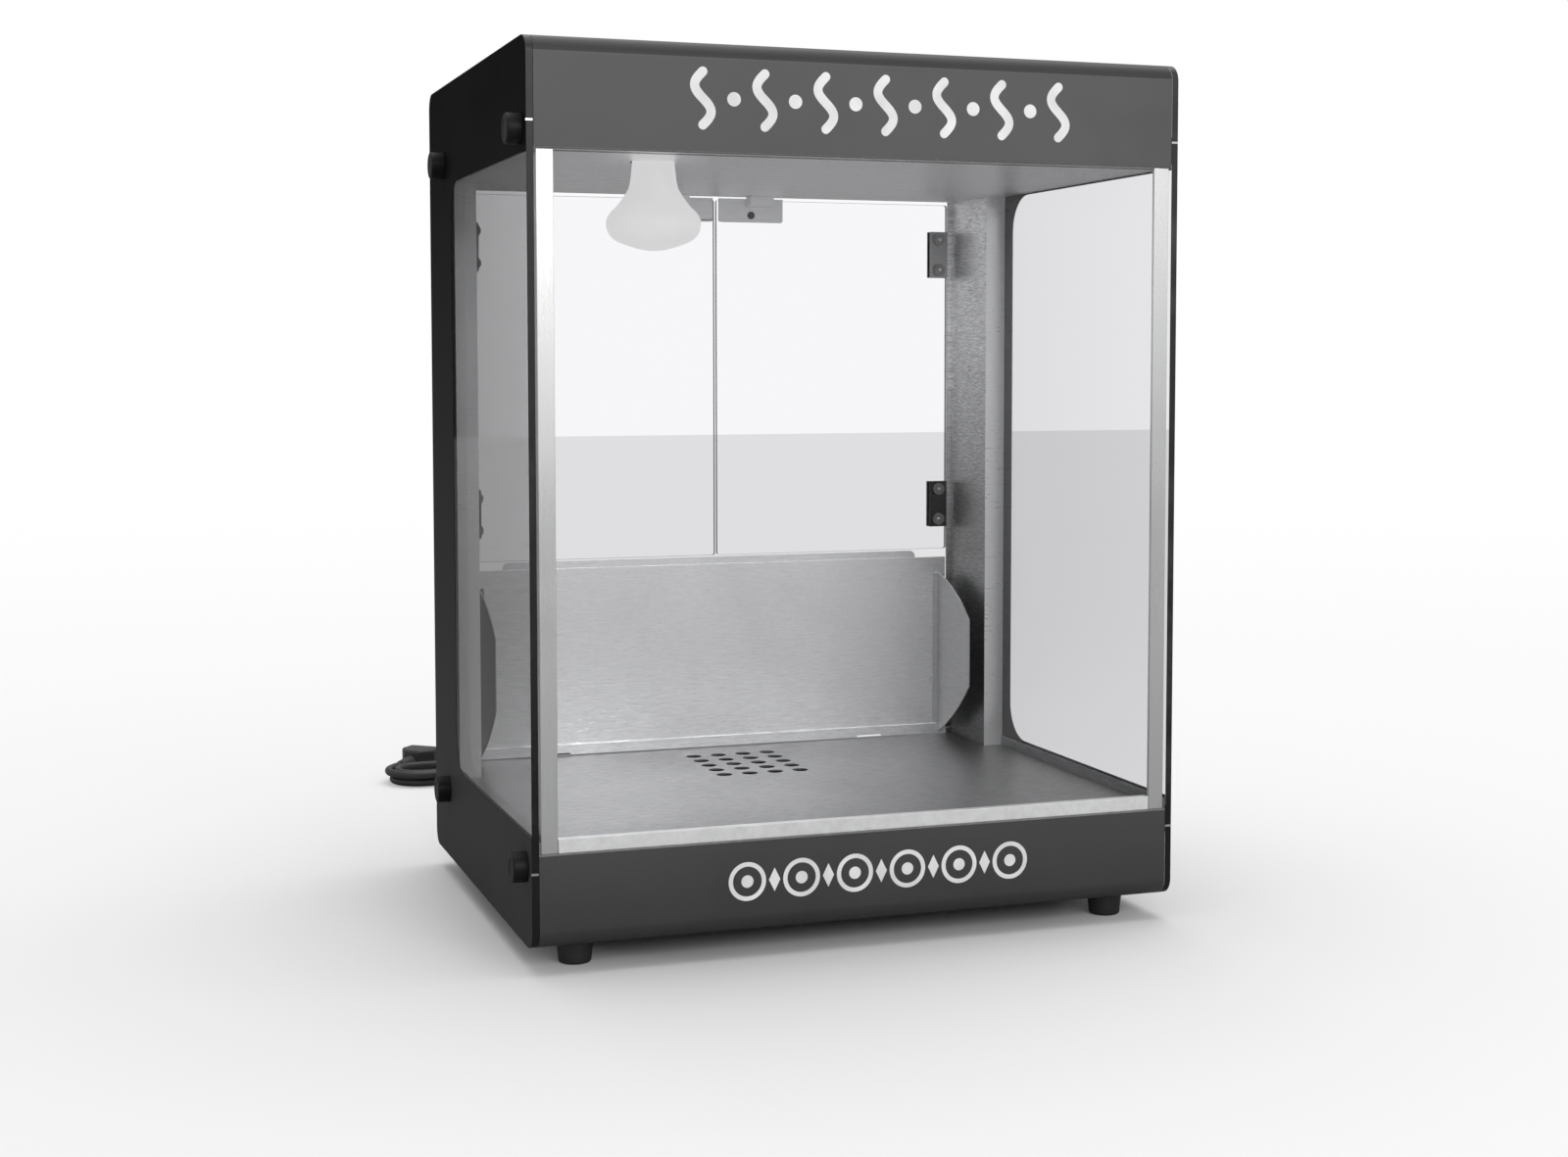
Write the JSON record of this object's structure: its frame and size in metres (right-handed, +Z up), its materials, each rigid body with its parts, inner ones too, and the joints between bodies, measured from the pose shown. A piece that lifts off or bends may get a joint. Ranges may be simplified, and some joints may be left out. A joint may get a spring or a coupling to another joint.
{
  "type": "chip warmer",
  "caption": "Heated countertop display cabinet for chips, with black painted base and hood, glass walls, lamp, hinged rear glass doors and a tilting flap.",
  "frame": {"origin": "centre of the cabinet on the surface that its feet stand on", "axes": "+Z up, -Y towards the customer side with the fixed front glass, +Y towards the operator side with the doors, +X to the right as seen from the front"},
  "size_m": [0.4734, 0.7795, 0.6001],
  "materials": {
    "black_paint": "satin",
    "print_black": "gloss",
    "steel": "brushed",
    "hinge_steel": "brushed",
    "heater_steel": "brushed",
    "glass": "clear",
    "bulb_glass": "satin",
    "ceramic": "satin",
    "magnet": "satin",
    "black_plastic": "satin",
    "foot_rubber": "matte",
    "cord_rubber": "matte"
  },
  "bodies": {
    "cabinet": {"base_shell": "black_paint", "hood_shell": "black_paint", "floor_tray": "steel", "front_sill": "steel", "ceiling_panel": "steel", "front_glass": "glass", "lamp_holder": "ceramic", "lamp_bulb": "bulb_glass", "heating_element": "heater_steel", "switch_housing": "black_plastic", "flap_rod": "steel", "cord_gland": "cord_rubber", "cord_lead": "cord_rubber", "cord_hank": "cord_rubber", "cord_tie": "black_plastic", "plug": "cord_rubber", "side_rail_left": "steel", "front_post_left": "steel", "rear_column_left": "steel", "side_glass_left": "glass", "side_print_left": "print_black", "magnet_catch_left": "magnet", "hinge_frame_leaf_upper_left": "hinge_steel", "hinge_frame_leaf_lower_left": "hinge_steel", "side_rail_right": "steel", "front_post_right": "steel", "rear_column_right": "steel", "side_glass_right": "glass", "side_print_right": "print_black", "magnet_catch_right": "magnet", "hinge_frame_leaf_upper_right": "hinge_steel", "hinge_frame_leaf_lower_right": "hinge_steel", "knob_left_front_lower": "black_plastic", "knob_left_rear_lower": "black_plastic", "knob_left_front_upper": "black_plastic", "knob_left_rear_upper": "black_plastic", "knob_right_front_lower": "black_plastic", "knob_right_rear_lower": "black_plastic", "knob_right_front_upper": "black_plastic", "knob_right_rear_upper": "black_plastic", "foot_front_left": "foot_rubber", "foot_front_right": "foot_rubber", "foot_rear_left": "foot_rubber", "foot_rear_right": "foot_rubber"},
    "left_door": {"door_glass_left": "glass", "strike_plate_left": "steel", "hinge_inner_plate_upper_left": "hinge_steel", "hinge_door_leaf_upper_left": "hinge_steel", "hinge_inner_plate_lower_left": "hinge_steel", "hinge_door_leaf_lower_left": "hinge_steel"},
    "right_door": {"door_glass_right": "glass", "strike_plate_right": "steel", "hinge_inner_plate_upper_right": "hinge_steel", "hinge_door_leaf_upper_right": "hinge_steel", "hinge_inner_plate_lower_right": "hinge_steel", "hinge_door_leaf_lower_right": "hinge_steel"},
    "flap": {"flap_panel": "steel", "flap_cheek_left": "steel", "flap_cheek_right": "steel"},
    "rocker": {"switch_rocker": "black_plastic"}
  },
  "joints": [
    {"name": "left_door_hinge", "type": "hinge", "parent": "cabinet", "child": "left_door", "pos_m": [-0.2056, 0.1766, 0.3815], "axis": [0, 0, 1], "range_deg": [0, 110]},
    {"name": "right_door_hinge", "type": "hinge", "parent": "cabinet", "child": "right_door", "pos_m": [0.2056, 0.1766, 0.3815], "axis": [0, 0, -1], "range_deg": [0, 110]},
    {"name": "flap_tilt", "type": "hinge", "parent": "cabinet", "child": "flap", "pos_m": [0, 0.17065, 0.084], "axis": [-1, 0, 0], "range_deg": [0, 40]},
    {"name": "switch_throw", "type": "hinge", "parent": "cabinet", "child": "rocker", "pos_m": [0.15, 0.172, 0.048], "axis": [1, 0, 0], "range_deg": [0, 16]}
  ]
}
